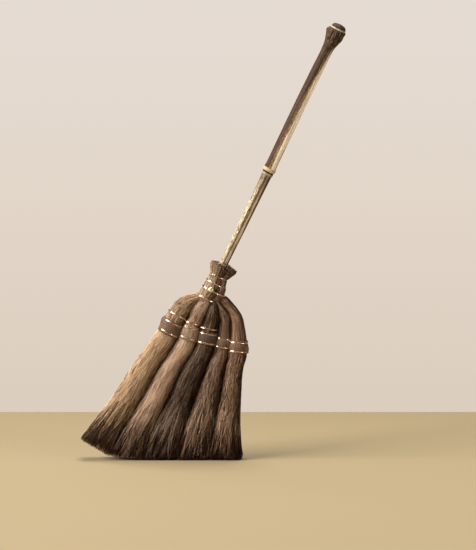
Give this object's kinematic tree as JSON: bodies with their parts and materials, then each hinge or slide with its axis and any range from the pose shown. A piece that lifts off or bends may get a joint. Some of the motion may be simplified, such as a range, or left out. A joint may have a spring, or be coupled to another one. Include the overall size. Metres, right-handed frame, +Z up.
{
  "type": "broom",
  "caption": "Household broom of wire-bound palm fibre bundles gathered round a bamboo handle that ends in its root knob.",
  "frame": {"origin": "on the floor, at the middle of the flat underside of the third brush end", "axes": "-Z out of the sweeping foot onto the floor, +Z up, +Y to the back through the thin depth of the head, +X the way the handle leans"},
  "size_m": [0.51, 0.0442, 0.8517],
  "materials": {
    "bamboo": "satin",
    "bound_fibre": "matte",
    "loose_fibre": "matte",
    "copper_wire": "polished",
    "brass": "polished"
  },
  "bodies": {
    "broom": {"bamboo_handle": "bamboo", "brass_tack": "brass", "neck_wire_1": "copper_wire", "neck_wire_2": "copper_wire", "neck_wire_3": "copper_wire", "neck_wire_4": "copper_wire", "wrap_1": "bound_fibre", "wrap_2": "bound_fibre", "wrap_3": "bound_fibre", "wrap_4": "bound_fibre", "wrap_5": "bound_fibre", "core_1": "bound_fibre", "core_2": "bound_fibre", "core_3": "bound_fibre", "core_4": "bound_fibre", "core_5": "bound_fibre", "cuff_1": "bound_fibre", "cuff_2": "bound_fibre", "cuff_3": "bound_fibre", "cuff_4": "bound_fibre", "cuff_5": "bound_fibre", "band_low_1": "copper_wire", "band_low_2": "copper_wire", "band_low_3": "copper_wire", "band_low_4": "copper_wire", "band_low_5": "copper_wire", "band_mid_1": "copper_wire", "band_mid_2": "copper_wire", "band_mid_3": "copper_wire", "band_mid_4": "copper_wire", "band_mid_5": "copper_wire", "band_top_1": "copper_wire", "band_top_2": "copper_wire", "band_top_3": "copper_wire"},
    "brush_end_1": {"brush_1": "loose_fibre"},
    "brush_end_2": {"brush_2": "loose_fibre"},
    "brush_end_3": {"brush_3": "loose_fibre"},
    "brush_end_4": {"brush_4": "loose_fibre"},
    "brush_end_5": {"brush_5": "loose_fibre"}
  },
  "joints": [
    {"name": "fibre_bend_1", "type": "hinge", "parent": "broom", "child": "brush_end_1", "pos_m": [0.005, 0, 0.22429], "axis": [0.9646, 0, -0.2639], "range_deg": [-20, 20], "stiffness_Nm_per_rad": 2},
    {"name": "fibre_bend_2", "type": "hinge", "parent": "broom", "child": "brush_end_2", "pos_m": [0.04166, 0, 0.21426], "axis": [0.9646, 0, -0.2639], "range_deg": [-20, 20], "stiffness_Nm_per_rad": 2},
    {"name": "fibre_bend_3", "type": "hinge", "parent": "broom", "child": "brush_end_3", "pos_m": [0.07734, 0, 0.2045], "axis": [0.9646, 0, -0.2639], "range_deg": [-20, 20], "stiffness_Nm_per_rad": 2},
    {"name": "fibre_bend_4", "type": "hinge", "parent": "broom", "child": "brush_end_4", "pos_m": [0.10821, 0, 0.19605], "axis": [0.9646, 0, -0.2639], "range_deg": [-20, 20], "stiffness_Nm_per_rad": 2},
    {"name": "fibre_bend_5", "type": "hinge", "parent": "broom", "child": "brush_end_5", "pos_m": [0.13773, 0, 0.18798], "axis": [0.9646, 0, -0.2639], "range_deg": [-20, 20], "stiffness_Nm_per_rad": 2}
  ]
}
